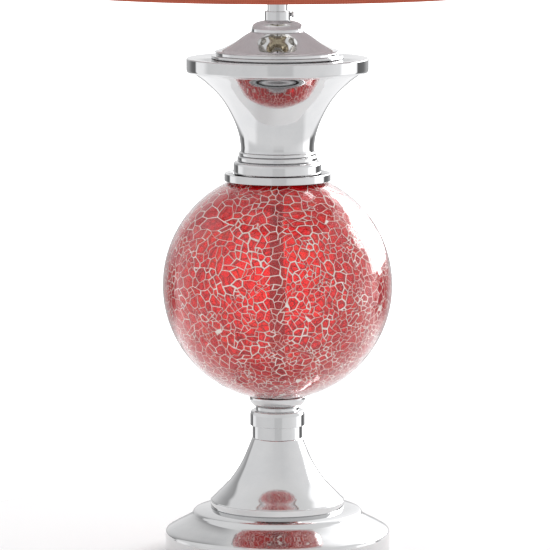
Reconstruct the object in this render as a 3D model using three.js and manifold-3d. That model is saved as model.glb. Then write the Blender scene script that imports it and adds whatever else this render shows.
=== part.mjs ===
// Mosaic glass table lamp.  A weighted chrome base, a bell and turned collars carry a glass
// globe covered in glass mosaic.  Above it a trumpet, a disc and a dome lead to the stem, the
// lamp holder, and a fabric drum shade held on a wire harp by a finial.
// Millimetres, +Z up, origin at the centre of the underside.

import * as THREE from 'three';
import { mergeVertices } from 'three/addons/utils/BufferGeometryUtils.js';
import Module from 'manifold-3d';

// ---------------------------------------------------------------- driving dimensions

const SIDES = 24; // flats around a large turned piece
const SMALL_SIDES = 16; // flats around a small turned piece
const WALL = 2; // spun metal, measured level
const GAP = 0.3; // clearance between neighbouring pieces

const ROD_RADIUS = 5; // M10 lamp tube
const ROD_BORE = 3.5;
const ROD_HOLE = 5.4;

const FELT_RADIUS = 94;
const FELT_TOP = 2;
const COVER_TOP = 3.2;
const BASE_RADIUS = 96.5;
const BASE_RIM = 1;
const BASE_TOP = 43.2;
const WEIGHT_RADIUS = 90;
const WEIGHT_RECESS = 14; // height of the pocket for the foot nut
const CORD_HOLE_Z = 10.5;
const CORD_HOLE_RADIUS = 5;

const BASE_RING_RADIUS = 57.5;
const BASE_RING_TOP = 49;
const BELL_TOP = 103;
const LOWER_COLLAR_RADIUS = 21.6;
const LOWER_COLLAR_TOP = 113.9;
const UPPER_COLLAR_RADIUS = 23.5;
const UPPER_COLLAR_TOP = 127;
const NECK_RADIUS = 18.8;
const NECK_TOP = 130;
const CUP_LIP_RADIUS = 24.3;
const CUP_LIP_Z = 138.8;
const CUP_FLOOR = 132.5;

const GLOBE_RADIUS = 99.4; // outside of the mosaic
const GLOBE_Z = 235.8;
const MOSAIC_DEPTH = 2.6;
const GLASS_THICKNESS = 2.6;
const GLOBE_LOWER_HOLE = 9;
const GLOBE_UPPER_HOLE = 38;
const SPACER_RADIUS = 6.5;

const CAP_RING_RADIUS = 45.4;
const CAP_RING_BOTTOM = 324.6;
const CAP_RING_TOP = 331.2;
const CAP_RADIUS = 37.6;
const CAP_TOP = 341.4;
const LOWER_BEAD_RADIUS = 34.2;
const LOWER_BEAD_TOP = 346;
const UPPER_BEAD_RADIUS = 32.8;
const UPPER_BEAD_TOP = 349.4;
const DISC_RADIUS = 77.5;
const DISC_BOTTOM = 416.8;
const DISC_TOP = 429.2;
const STEP_ONE_RADIUS = 56.2;
const STEP_ONE_TOP = 431.5;
const STEP_TWO_RADIUS = 52.3;
const STEP_TWO_TOP = 434.3;
const DOME_RADIUS = 53.5;
const DOME_TOP = 451.4;
const DOME_CAP_RADIUS = 22.3;
const DOME_CAP_TOP = 461;

const STEM_RADIUS = 8.6;
const STEM_TOP = 497;
const STEM_COLLAR_RADIUS = 10.9;
const STEM_COLLAR_TOP = 469;
const SET_SCREW_Z = 466;

const SADDLE_THICKNESS = 2;
const SADDLE_TOP = STEM_TOP + SADDLE_THICKNESS;
const HARP_LEG_X = 31; // half the distance between the harp's legs
const HARP_LEG_Z = 514.3;
const HARP_WIRE = 2; // wire radius
const HARP_CROWN_Z = 723.5;
const FERRULE_BOTTOM = 508;
const FERRULE_TOP = 520;
const STUD_RADIUS = 3.1;
const STUD_SEAT_TOP = 728;
const STUD_TOP = 741;

const SOCKET_Z = 502; // underside of the lamp holder's cap
const SWITCH_Z = 522;
const SOCKET_BODY_TOP = 528;
const SOCKET_TOP = 553;
const BULB_Z = 555.3; // where the bulb's glass leaves its cap
const BULB_RADIUS = 30;
const BULB_TOP = 641;

const SHADE_BOTTOM = 487;
const SHADE_TOP = 741;
const SHADE_BOTTOM_RADIUS = 202.1;
const SHADE_TOP_RADIUS = 189.1;
const FABRIC_THICKNESS = 0.9;
const LINER_THICKNESS = 0.8;
const TRIM_HEIGHT = 10;
const TRIM_THICKNESS = 0.6;
const RING_WIRE = 1.6;
const SPIDER_Z = 729.3;
const FINIAL_Z = 731.9;
const FINIAL_TOP = 757;

// ---------------------------------------------------------------- finishes

const FINISHES = {
  chrome: { color: 0xcdd0d2, roughness: 0.08, metalness: 1 },
  nickel: { color: 0xb9b6ae, roughness: 0.22, metalness: 1 },
  zinc: { color: 0xa9adb0, roughness: 0.4, metalness: 1 },
  brass: { color: 0xc9a227, roughness: 0.3, metalness: 1 },
  cast_iron: { color: 0x3b3d40, roughness: 0.8, metalness: 0.6 },
  felt: { color: 0x2a2c2b, roughness: 1, metalness: 0 },
  fibreboard: { color: 0x8a7350, roughness: 0.9, metalness: 0 },
  rubber: { color: 0x1c1c1d, roughness: 0.85, metalness: 0 },
  phenolic: { color: 0x191716, roughness: 0.5, metalness: 0 },
  mosaic: { color: 0xb01326, roughness: 0.1, metalness: 0 },
  clear_glass: { color: 0xe9efee, roughness: 0.05, metalness: 0 },
  frosted_glass: { color: 0xf4f1ea, roughness: 0.4, metalness: 0 },
  fabric: { color: 0xa8503f, roughness: 0.95, metalness: 0 },
  styrene: { color: 0xf3efe6, roughness: 0.6, metalness: 0 },
};

const lamp = new THREE.Group();

function piece(name, geometry, finish) {
  const mesh = new THREE.Mesh(geometry, new THREE.MeshStandardMaterial(FINISHES[finish]));
  mesh.name = name;
  lamp.add(mesh);
  return mesh;
}

// ---------------------------------------------------------------- shape helpers

// A piece turned about +Z.  The profile is a list of [radius, height] that runs up the
// outside and down the inside; it starts and ends on the axis or is closed here.
function turned(profile, sides = SIDES) {
  const points = profile.map(([r, z]) => new THREE.Vector2(r, z));
  const onAxis = profile[0][0] === 0 && profile.at(-1)[0] === 0;
  if (!onAxis) {
    points.push(points[0].clone());
  }
  return new THREE.LatheGeometry(points, sides).rotateX(Math.PI / 2);
}

// A plain washer, tube or sleeve.
function sleeve(inner, outer, bottom, top, sides = SMALL_SIDES) {
  return turned([[inner, bottom], [outer, bottom], [outer, top], [inner, top]], sides);
}

// A ring with softened outer edges.
function softRing(inner, outer, bottom, top, soft, sides = SIDES) {
  return turned([
    [inner, bottom],
    [outer - soft, bottom],
    [outer, bottom + soft],
    [outer, top - soft],
    [outer - soft, top],
    [inner, top],
  ], sides);
}

// A smooth outline through a few [radius, height] points.
function smooth(points, steps) {
  const line = new THREE.SplineCurve(points.map(([r, z]) => new THREE.Vector2(r, z)));
  return line.getPoints(steps).map((p) => [p.x, p.y]);
}

// The inside of an outline: every other point, thinner by the wall, running back down.
function inside(points, wall) {
  const kept = points.filter((_, i) => i % 2 === 0 || i === points.length - 1);
  return kept.map(([r, z]) => [r - wall, z]).reverse();
}

// Part of a circle in the profile plane, angles from the +radius direction.
function arc(radius, centreZ, fromDeg, toDeg, steps) {
  const points = [];
  for (let i = 0; i <= steps; i += 1) {
    const angle = THREE.MathUtils.degToRad(fromDeg + ((toDeg - fromDeg) * i) / steps);
    points.push([radius * Math.cos(angle), centreZ + radius * Math.sin(angle)]);
  }
  return points;
}

// A round wire along a path.
function wire(points, radius, steps, sides = 8) {
  const path = new THREE.CatmullRomCurve3(points.map((p) => new THREE.Vector3(...p)), false, 'centripetal');
  const section = new THREE.Shape().absarc(0, 0, radius, 0, Math.PI * 2);
  return new THREE.ExtrudeGeometry(section, {
    steps,
    curveSegments: sides / 2,
    bevelEnabled: false,
    extrudePath: path,
  });
}

// A hexagon nut around +Z.
function hexNut(acrossFlats, bore, bottom, top) {
  const outline = new THREE.Shape();
  const corner = acrossFlats / 2 / Math.cos(Math.PI / 6);
  for (let i = 0; i < 6; i += 1) {
    const angle = (i * Math.PI) / 3;
    const place = i === 0 ? 'moveTo' : 'lineTo';
    outline[place](corner * Math.cos(angle), corner * Math.sin(angle));
  }
  outline.closePath();
  outline.holes.push(new THREE.Path().absarc(0, 0, bore, 0, Math.PI * 2, true));
  const settings = { depth: top - bottom, bevelEnabled: false, curveSegments: 8 };
  return new THREE.ExtrudeGeometry(outline, settings).translate(0, 0, bottom);
}

// A peg of the given radius from one point along a direction.
function peg(radius, from, to, sides = 12) {
  const start = new THREE.Vector3(...from);
  const end = new THREE.Vector3(...to);
  const along = end.clone().sub(start);
  const turn = new THREE.Quaternion().setFromUnitVectors(
    new THREE.Vector3(0, 1, 0),
    along.clone().normalize(),
  );
  return new THREE.CylinderGeometry(radius, radius, along.length(), sides)
    .applyQuaternion(turn)
    .translate(...start.add(end).multiplyScalar(0.5).toArray());
}

// ---------------------------------------------------------------- cutting and joining

const wasm = await Module();
wasm.setup();

function toSolid(geometry) {
  const bare = geometry.clone();
  bare.deleteAttribute('normal');
  bare.deleteAttribute('uv');
  const merged = mergeVertices(bare, 1e-4);
  return new wasm.Manifold(new wasm.Mesh({
    numProp: 3,
    vertProperties: new Float32Array(merged.attributes.position.array),
    triVerts: new Uint32Array(merged.index.array),
  }));
}

function toGeometry(solid) {
  const mesh = solid.getMesh();
  const geometry = new THREE.BufferGeometry();
  geometry.setAttribute('position', new THREE.BufferAttribute(new Float32Array(mesh.vertProperties), 3));
  geometry.setIndex(new THREE.BufferAttribute(new Uint32Array(mesh.triVerts), 1));
  geometry.computeVertexNormals();
  return geometry;
}

function cut(body, ...tools) {
  return toGeometry(tools.reduce((solid, tool) => solid.subtract(toSolid(tool)), toSolid(body)));
}

function join(first, ...others) {
  return toGeometry(others.reduce((solid, other) => solid.add(toSolid(other)), toSolid(first)));
}

// ---------------------------------------------------------------- base

piece('felt_pad', turned([[0, 0], [FELT_RADIUS, 0], [FELT_RADIUS, FELT_TOP], [0, FELT_TOP]]), 'felt');
piece('base_cover', turned([[0, FELT_TOP], [FELT_RADIUS, FELT_TOP], [FELT_RADIUS, COVER_TOP],
  [0, COVER_TOP]]), 'fibreboard');

const NUT_BOTTOM = 6.4;
const NUT_TOP = WEIGHT_RECESS - 2;
piece('foot_nut', hexNut(17, ROD_HOLE, NUT_BOTTOM, NUT_TOP), 'zinc');
piece('foot_washer', sleeve(ROD_HOLE, 13, NUT_TOP, WEIGHT_RECESS), 'zinc');

piece('base_weight', turned([
  [ROD_HOLE, WEIGHT_RECESS],
  [16, WEIGHT_RECESS],
  [16, 3.6],
  [WEIGHT_RADIUS, 3.6],
  [WEIGHT_RADIUS, 12],
  [70, 18],
  [20, 22],
  [14, 30],
  [14, BASE_TOP - WALL],
  [ROD_HOLE, BASE_TOP - WALL],
], 24), 'cast_iron');

// Plinth wall, rolled shoulder, flaring skirt, a small step, and a shallow top under the ring.
const shellOutside = [
  [BASE_RADIUS, BASE_RIM],
  [BASE_RADIUS, 20],
  [95.2, 23.6],
  [88.5, 27.5],
  [80.4, 31.8],
  [75.2, 35.2],
  [72.8, 37.6],
  [72.4, 39],
  [70.6, 40.4],
  [64, 42.1],
  [BASE_RING_RADIUS, BASE_TOP],
  [ROD_HOLE, BASE_TOP],
];
const shellInside = [
  [ROD_HOLE, BASE_TOP - WALL],
  [56, BASE_TOP - WALL],
  [69, 38.4],
  [78, 30.4],
  [93, 22.4],
  [BASE_RADIUS - WALL, 19],
  [BASE_RADIUS - WALL, BASE_RIM],
];
const cordHole = peg(CORD_HOLE_RADIUS, [0, BASE_RADIUS - 8, CORD_HOLE_Z], [0, BASE_RADIUS + 8, CORD_HOLE_Z]);
piece('base_shell', cut(turned([...shellOutside, ...shellInside]), cordHole), 'chrome');

// Grommet for the mains lead: a neck through the wall between two flanges.
const bushProfile = [
  [3.2, -5],
  [6.4, -5],
  [6.4, -3],
  [CORD_HOLE_RADIUS - GAP - 0.2, -3],
  [CORD_HOLE_RADIUS - GAP - 0.2, 0.2],
  [6.8, 0.2],
  [6, 2.2],
  [3.2, 2.2],
];
piece('cord_bush', turned(bushProfile, SMALL_SIDES).rotateX(-Math.PI / 2)
  .translate(0, BASE_RADIUS, CORD_HOLE_Z), 'rubber');

piece('base_ring', softRing(46, BASE_RING_RADIUS, BASE_TOP, BASE_RING_TOP, 0.7), 'chrome');

const bellOutside = smooth([[57, BASE_RING_TOP], [53.4, 54.7], [41.2, 66], [30.9, 80.8],
  [24.6, 95], [21.4, BELL_TOP]], 7);
piece('bell', turned([
  ...bellOutside,
  [ROD_HOLE, BELL_TOP],
  [ROD_HOLE, BELL_TOP - WALL],
  ...inside(bellOutside.slice(0, -1), WALL + 0.4),
]), 'chrome');

piece('neck_collar_lower', softRing(ROD_HOLE, LOWER_COLLAR_RADIUS, BELL_TOP, LOWER_COLLAR_TOP, 0.6), 'chrome');
piece('neck_collar_upper', turned([
  [ROD_HOLE, LOWER_COLLAR_TOP],
  [UPPER_COLLAR_RADIUS - 0.6, LOWER_COLLAR_TOP],
  [UPPER_COLLAR_RADIUS, LOWER_COLLAR_TOP + 0.6],
  [UPPER_COLLAR_RADIUS, 123.5],
  [22.6, 126.4],
  [21.4, UPPER_COLLAR_TOP],
  [ROD_HOLE, UPPER_COLLAR_TOP],
]), 'chrome');
piece('neck_ring', sleeve(ROD_HOLE, NECK_RADIUS, UPPER_COLLAR_TOP, NECK_TOP, SIDES), 'chrome');
piece('globe_cup', turned([
  [ROD_HOLE, NECK_TOP],
  [NECK_RADIUS, NECK_TOP],
  [22, 132.5],
  [23.8, 136],
  [CUP_LIP_RADIUS, CUP_LIP_Z],
  [CUP_LIP_RADIUS - WALL, CUP_LIP_Z - 0.3],
  [20, 134],
  [17, CUP_FLOOR],
  [ROD_HOLE, CUP_FLOOR],
]), 'chrome');

// ---------------------------------------------------------------- globe

// A ball shell, open at the bottom for the spacer tube and at the top under the cap ring.
function ballShell(outer, inner, steps) {
  const holeAngle = (hole, radius) => THREE.MathUtils.radToDeg(Math.acos(hole / radius));
  const wall = (radius) => arc(radius, GLOBE_Z, -holeAngle(GLOBE_LOWER_HOLE, radius),
    holeAngle(GLOBE_UPPER_HOLE, radius), steps);
  return turned([...wall(outer), ...wall(inner).reverse()]);
}

const GLASS_RADIUS = GLOBE_RADIUS - MOSAIC_DEPTH - GAP;
piece('mosaic_skin', ballShell(GLOBE_RADIUS, GLOBE_RADIUS - MOSAIC_DEPTH, 8), 'mosaic');
piece('glass_globe', ballShell(GLASS_RADIUS, GLASS_RADIUS - GLASS_THICKNESS, 8), 'clear_glass');
piece('globe_gasket_lower', sleeve(SPACER_RADIUS + GAP, 15, CUP_FLOOR, 136), 'rubber');
piece('globe_gasket_upper', sleeve(30, 41.5, 328, CAP_RING_TOP - WALL, SIDES), 'rubber');
piece('spacer_tube', sleeve(ROD_HOLE, SPACER_RADIUS, CUP_FLOOR, CAP_RING_TOP - WALL, 16), 'nickel');

// ---------------------------------------------------------------- above the globe

piece('globe_cap_ring', turned([
  [CAP_RING_RADIUS, CAP_RING_BOTTOM],
  [CAP_RING_RADIUS, CAP_RING_TOP - 0.6],
  [CAP_RING_RADIUS - 0.6, CAP_RING_TOP],
  [ROD_HOLE, CAP_RING_TOP],
  [ROD_HOLE, CAP_RING_TOP - WALL],
  [42.8, CAP_RING_TOP - WALL],
  [CAP_RING_RADIUS - WALL, 327],
  [CAP_RING_RADIUS - WALL, 325.6],
]), 'chrome');
piece('globe_cap', turned([
  [CAP_RADIUS, CAP_RING_TOP],
  [CAP_RADIUS, CAP_TOP - 3],
  [CAP_RADIUS - 0.8, CAP_TOP - 1],
  [CAP_RADIUS - 2.6, CAP_TOP],
  [ROD_HOLE, CAP_TOP],
  [ROD_HOLE, CAP_TOP - WALL],
  [CAP_RADIUS - WALL, CAP_TOP - 3.4],
  [CAP_RADIUS - WALL, CAP_RING_TOP],
]), 'chrome');
piece('bead_ring_lower', softRing(22, LOWER_BEAD_RADIUS, CAP_TOP, LOWER_BEAD_TOP, 1.4), 'chrome');
piece('bead_ring_upper', softRing(22, UPPER_BEAD_RADIUS, LOWER_BEAD_TOP, UPPER_BEAD_TOP, 1), 'chrome');

const trumpetOutside = smooth([[31.5, UPPER_BEAD_TOP], [31.4, 354], [33.2, 365], [38.4, 379],
  [47.9, 395], [60.6, 408], [72.4, DISC_BOTTOM]], 8);
piece('trumpet', turned([
  ...trumpetOutside,
  ...inside(trumpetOutside, WALL + 0.4).slice(0, -1),
  [trumpetOutside[0][0] - WALL - 0.4, UPPER_BEAD_TOP + WALL],
  [ROD_HOLE, UPPER_BEAD_TOP + WALL],
  [ROD_HOLE, UPPER_BEAD_TOP],
]), 'chrome');

piece('top_disc', turned([
  [67, DISC_BOTTOM],
  [DISC_RADIUS - 3, DISC_BOTTOM],
  [DISC_RADIUS - 0.9, DISC_BOTTOM + 0.9],
  [DISC_RADIUS, DISC_BOTTOM + 3],
  [DISC_RADIUS, DISC_TOP - 1.4],
  [DISC_RADIUS - 1.4, DISC_TOP],
  [ROD_HOLE, DISC_TOP],
  [ROD_HOLE, DISC_TOP - WALL],
  [DISC_RADIUS - WALL, DISC_TOP - WALL],
  [DISC_RADIUS - WALL, DISC_BOTTOM + 2.6],
  [67, DISC_BOTTOM + WALL],
]), 'chrome');
piece('step_ring_lower', sleeve(40, STEP_ONE_RADIUS, DISC_TOP, STEP_ONE_TOP, SIDES), 'chrome');
piece('step_ring_upper', sleeve(40, STEP_TWO_RADIUS, STEP_ONE_TOP, STEP_TWO_TOP, SIDES), 'chrome');

piece('dome', turned([
  [DOME_RADIUS, STEP_TWO_TOP],
  [52.4, 435.4],
  [47.4, 436.9],
  [37, 442.3],
  [28.6, 448],
  [22.8, DOME_TOP],
  [ROD_HOLE, DOME_TOP],
  [ROD_HOLE, DOME_TOP - WALL],
  [22, DOME_TOP - WALL],
  [36, 440.6],
  [46, STEP_TWO_TOP],
]), 'chrome');
piece('dome_cap', turned([
  [ROD_HOLE, DOME_TOP],
  [DOME_CAP_RADIUS, DOME_TOP],
  [22.1, 454],
  [20.5, 457.4],
  [17, 459.8],
  [12, DOME_CAP_TOP],
  [ROD_HOLE, DOME_CAP_TOP],
], 24), 'chrome');

const collar = turned([
  [STEM_RADIUS + GAP, DOME_CAP_TOP],
  [STEM_COLLAR_RADIUS, DOME_CAP_TOP],
  [STEM_COLLAR_RADIUS, STEM_COLLAR_TOP - 0.8],
  [STEM_COLLAR_RADIUS - 0.8, STEM_COLLAR_TOP],
  [STEM_RADIUS + GAP, STEM_COLLAR_TOP],
], SMALL_SIDES);
piece('stem_collar', cut(collar, peg(1.9, [6, 0, SET_SCREW_Z], [13, 0, SET_SCREW_Z])), 'chrome');
piece('set_screw', join(
  peg(1.5, [STEM_RADIUS + GAP, 0, SET_SCREW_Z], [STEM_COLLAR_RADIUS + 0.6, 0, SET_SCREW_Z]),
  peg(2.7, [STEM_COLLAR_RADIUS + 0.5, 0, SET_SCREW_Z], [STEM_COLLAR_RADIUS + 3, 0, SET_SCREW_Z]),
), 'chrome');
piece('stem_tube', sleeve(STEM_RADIUS - WALL, STEM_RADIUS, DOME_CAP_TOP, STEM_TOP), 'chrome');
piece('threaded_rod', sleeve(ROD_BORE, ROD_RADIUS, 4.6, 505, 16), 'zinc');

// ---------------------------------------------------------------- harp

// Flat strip with a hole for the rod, its ends bent up into tabs that carry the harp's legs.
const saddleStrip = new THREE.Shape();
const tabInner = HARP_LEG_X - SADDLE_THICKNESS / 2;
const tabOuter = HARP_LEG_X + SADDLE_THICKNESS / 2;
const TAB_TOP = HARP_LEG_Z - GAP;
saddleStrip.moveTo(-tabOuter, STEM_TOP + 2);
saddleStrip.lineTo(-tabOuter + 2, STEM_TOP);
saddleStrip.lineTo(tabOuter - 2, STEM_TOP);
saddleStrip.lineTo(tabOuter, STEM_TOP + 2);
saddleStrip.lineTo(tabOuter, TAB_TOP);
saddleStrip.lineTo(tabInner, TAB_TOP);
saddleStrip.lineTo(tabInner, SADDLE_TOP + 1);
saddleStrip.lineTo(tabInner - 1, SADDLE_TOP);
saddleStrip.lineTo(-tabInner + 1, SADDLE_TOP);
saddleStrip.lineTo(-tabInner, SADDLE_TOP + 1);
saddleStrip.lineTo(-tabInner, TAB_TOP);
saddleStrip.lineTo(-tabOuter, TAB_TOP);
saddleStrip.closePath();
const TAB_WIDTH = 4.8;
const strip = new THREE.ExtrudeGeometry(saddleStrip, { depth: TAB_WIDTH, bevelEnabled: false })
  .translate(0, 0, -TAB_WIDTH / 2)
  .rotateX(Math.PI / 2);
const hub = sleeve(ROD_HOLE, 9.5, STEM_TOP, SADDLE_TOP, 24);
const rodHole = peg(ROD_HOLE, [0, 0, STEM_TOP - 2], [0, 0, SADDLE_TOP + 2], 24);
piece('harp_saddle', cut(join(strip, hub), rodHole), 'nickel');
piece('rod_nut', hexNut(16, ROD_HOLE, SADDLE_TOP, SOCKET_Z), 'brass');

const harpHalf = [
  [HARP_LEG_X, HARP_LEG_Z],
  [HARP_LEG_X, 526],
  [HARP_LEG_X, 538],
  [33, 552],
  [44, 582],
  [54, 618],
  [56, 655],
  [46, 692],
  [25, 716],
];
const harpPath = [
  ...harpHalf.map(([x, z]) => [-x, 0, z]),
  [0, 0, HARP_CROWN_Z],
  ...harpHalf.map(([x, z]) => [x, 0, z]).reverse(),
];
piece('harp', wire(harpPath, HARP_WIRE, 44, 6), 'nickel');
piece('harp_stud', turned([
  [0, HARP_CROWN_Z + HARP_WIRE + GAP],
  [7, HARP_CROWN_Z + HARP_WIRE + GAP],
  [8, STUD_SEAT_TOP],
  [STUD_RADIUS, STUD_SEAT_TOP],
  [STUD_RADIUS, STUD_TOP - 0.8],
  [STUD_RADIUS - 0.8, STUD_TOP],
  [0, STUD_TOP],
], 12), 'nickel');
for (const [side, x] of [['left', -HARP_LEG_X], ['right', HARP_LEG_X]]) {
  const ferrule = sleeve(3, 3.9, FERRULE_BOTTOM, FERRULE_TOP, 12).translate(x, 0, 0);
  piece(`ferrule_${side}`, ferrule, 'nickel');
}

// ---------------------------------------------------------------- lamp holder and bulb

piece('socket_cap', turned([
  [ROD_HOLE, SOCKET_Z],
  [11, SOCKET_Z],
  [19.4, 512],
  [20.2, 514],
  [20.2, 518],
  [19, 518],
  [19, 514.4],
  [10.6, SOCKET_Z + 1.4],
  [ROD_HOLE, SOCKET_Z + 1.4],
], SMALL_SIDES), 'brass');
const switchHole = (radius) => peg(radius, [0, -24, SWITCH_Z], [0, -10, SWITCH_Z]);
piece('socket_shell', cut(sleeve(18, 18.7, 515, SOCKET_TOP), switchHole(3)), 'brass');
piece('socket_liner', cut(sleeve(17.1, 17.7, 515, SOCKET_TOP), switchHole(3)), 'fibreboard');
piece('socket_body', turned([[0, 512], [15.4, 514], [15.4, SOCKET_BODY_TOP], [0, SOCKET_BODY_TOP]],
  SMALL_SIDES), 'phenolic');
piece('screw_shell', sleeve(13.6, 14.2, SOCKET_BODY_TOP, SOCKET_TOP), 'brass');
piece('centre_contact', turned([[0, SOCKET_BODY_TOP], [3.4, SOCKET_BODY_TOP], [2.6, 530.8], [0, 530.8]],
  10), 'brass');
piece('switch_knob', join(
  peg(2.2, [0, -15.4 - GAP, SWITCH_Z], [0, -29, SWITCH_Z]),
  peg(5.6, [0, -28, SWITCH_Z], [0, -38, SWITCH_Z], 16),
), 'phenolic');

piece('bulb_cap', turned([
  [0, 534],
  [5, 534],
  [12.9, 538.5],
  [12.9, 555],
  [12.1, 555],
  [12.1, 539],
  [4.6, 535],
  [0, 535],
], SMALL_SIDES), 'zinc');
piece('bulb_contact', turned([[0, 531.4], [3.6, 531.4], [4.4, 533.7], [0, 533.7]], 12), 'brass');
const bulbOutside = [
  ...smooth([[12.6, BULB_Z], [14, 566], [20, 582], [27, 596], [BULB_RADIUS, 611]], 5),
  ...arc(BULB_RADIUS, BULB_TOP - BULB_RADIUS, 22.5, 90, 3),
];
piece('bulb_glass', turned([
  ...bulbOutside.slice(0, -1),
  [0, BULB_TOP],
  [0, BULB_TOP - 1],
  ...inside(bulbOutside.slice(0, -1), 1),
  bulbOutside[0],
], SMALL_SIDES), 'frosted_glass');

// ---------------------------------------------------------------- shade

function shadeRadius(z) {
  const rise = (z - SHADE_BOTTOM) / (SHADE_TOP - SHADE_BOTTOM);
  return SHADE_BOTTOM_RADIUS + (SHADE_TOP_RADIUS - SHADE_BOTTOM_RADIUS) * rise;
}

// A slightly tapered band that follows the shade, offset from its outer face.
function shadeBand(innerOffset, outerOffset, bottom, top) {
  return turned([
    [shadeRadius(bottom) + innerOffset, bottom],
    [shadeRadius(bottom) + outerOffset, bottom],
    [shadeRadius(top) + outerOffset, top],
    [shadeRadius(top) + innerOffset, top],
  ]);
}

const linerOffset = -FABRIC_THICKNESS - GAP;
const ringOffset = linerOffset - LINER_THICKNESS - GAP - RING_WIRE - 0.6;
piece('shade_fabric', shadeBand(-FABRIC_THICKNESS, 0, SHADE_BOTTOM, SHADE_TOP), 'fabric');
piece('shade_liner', shadeBand(linerOffset - LINER_THICKNESS, linerOffset, SHADE_BOTTOM + 1,
  SHADE_TOP - 1), 'styrene');
piece('trim_bottom', shadeBand(GAP, GAP + TRIM_THICKNESS, SHADE_BOTTOM, SHADE_BOTTOM + TRIM_HEIGHT), 'fabric');
piece('trim_top', shadeBand(GAP, GAP + TRIM_THICKNESS, SHADE_TOP - TRIM_HEIGHT, SHADE_TOP), 'fabric');
const rings = [
  ['shade_bottom_ring', SHADE_BOTTOM + RING_WIRE + 0.4],
  ['shade_top_ring', SHADE_TOP - RING_WIRE - 0.4],
];
for (const [name, z] of rings) {
  const ring = new THREE.TorusGeometry(shadeRadius(z) + ringOffset, RING_WIRE, 5, SIDES);
  piece(name, ring.translate(0, 0, z), 'nickel');
}

piece('spider_hub', sleeve(STUD_RADIUS + 0.6, 9.5, SPIDER_Z - 1, SPIDER_Z + 1), 'nickel');
const armEnd = shadeRadius(SHADE_TOP) + ringOffset - RING_WIRE - HARP_WIRE - 0.6;
for (let i = 0; i < 3; i += 1) {
  const arm = wire([
    [9.5 + GAP, 0, SPIDER_Z],
    [100, 0, SPIDER_Z],
    [armEnd - 22, 0, SPIDER_Z + 1],
    [armEnd, 0, SPIDER_Z + 9],
  ], HARP_WIRE, 8, 6);
  arm.rotateZ(Math.PI / 2 + (i * Math.PI * 2) / 3);
  piece(`spider_arm_${i + 1}`, arm, 'nickel');
}

piece('finial_washer', sleeve(STUD_RADIUS + 0.6, 6.6, FINIAL_Z - 1.3, FINIAL_Z - GAP, 16), 'nickel');
piece('finial', turned([
  [0, STUD_TOP + 1.4],
  [STUD_RADIUS + 0.4, STUD_TOP + 1.4],
  [STUD_RADIUS + 0.4, FINIAL_Z],
  [7.6, FINIAL_Z],
  [7.6, FINIAL_Z + 2.4],
  [5.2, FINIAL_Z + 4.4],
  [5.2, FINIAL_Z + 7],
  [8.2, FINIAL_Z + 12],
  [9, FINIAL_Z + 16.4],
  [7.4, FINIAL_Z + 21],
  [3.8, FINIAL_Z + 24],
  [0, FINIAL_TOP],
], 16), 'nickel');

export default lamp;
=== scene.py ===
"""A mosaic glass table lamp: its looks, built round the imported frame.

Everything is in metres, +Z up, with the lamp standing on z = 0 about the Z axis. The turned
metal is lathed again with fine outlines, the globe's glass pieces and grout are made by
Geometry Nodes, and the shade is cloth on a backing with two wire rings.
"""

import math
import random

import bpy
from mathutils import Matrix, Vector, noise


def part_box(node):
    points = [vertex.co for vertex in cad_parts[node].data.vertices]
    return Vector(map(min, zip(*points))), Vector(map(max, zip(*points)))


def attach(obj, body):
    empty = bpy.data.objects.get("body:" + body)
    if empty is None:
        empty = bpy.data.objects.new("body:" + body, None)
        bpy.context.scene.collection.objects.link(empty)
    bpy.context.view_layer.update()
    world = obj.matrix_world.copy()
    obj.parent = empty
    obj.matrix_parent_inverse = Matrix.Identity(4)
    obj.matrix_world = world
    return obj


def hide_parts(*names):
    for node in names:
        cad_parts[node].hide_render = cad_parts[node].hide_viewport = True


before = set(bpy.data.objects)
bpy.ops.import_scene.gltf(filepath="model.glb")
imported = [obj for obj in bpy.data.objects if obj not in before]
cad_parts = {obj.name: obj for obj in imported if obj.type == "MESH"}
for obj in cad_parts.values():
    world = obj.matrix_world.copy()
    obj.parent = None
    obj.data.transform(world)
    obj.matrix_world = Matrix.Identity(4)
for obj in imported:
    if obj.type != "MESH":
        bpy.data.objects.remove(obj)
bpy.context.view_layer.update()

MM = 0.001
WALL = 2 * MM
BORE = 5.4 * MM  # the hole for the lamp tube through every turned piece
LOWER_HOLE = 9 * MM  # the globe's two openings, as radii
UPPER_HOLE = 38 * MM
COAT_LOWER = 23.4 * MM  # the coat's two edges, as radii
COAT_UPPER = 40 * MM
FLOOR_RADIUS = 0.36
COAT_LEAN = 0.075  # how far the coat's patches lean
BACKDROP = 2.0  # brightness of the white sheet behind the lamp
CEILING = 0.9
ROUND = 192  # steps round a large turned piece
SMALL_ROUND = 64  # steps round a small one


def low(node):
    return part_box(node)[0].z


def high(node):
    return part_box(node)[1].z


def radius(node):
    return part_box(node)[1].x


def linked(thing):
    """The object, put into the scene."""
    bpy.context.scene.collection.objects.link(thing)
    return thing


# ---------------------------------------------------------------- node helpers


def add(tree, kind, inputs=None, **settings):
    """A node with its settings. Each input takes a value, or a socket to link from."""
    node = tree.nodes.new(kind)
    for key, value in settings.items():
        setattr(node, key, value)
    for key, value in (inputs or {}).items():
        if isinstance(value, bpy.types.NodeSocket):
            tree.links.new(value, node.inputs[key])
        else:
            node.inputs[key].default_value = value
    return node


def figure(tree, operation, a, b=0.5, c=0.5, **settings):
    """One step of arithmetic on values."""
    return add(tree, "ShaderNodeMath", {0: a, 1: b, 2: c}, operation=operation, **settings).outputs[0]


def spread(tree, value, low_out, high_out, low_in=0.3, high_in=0.7):
    """A value remapped to a new range."""
    inputs = {"Value": value, "From Min": low_in, "From Max": high_in}
    inputs |= {"To Min": low_out, "To Max": high_out}
    return add(tree, "ShaderNodeMapRange", inputs).outputs["Result"]


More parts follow.
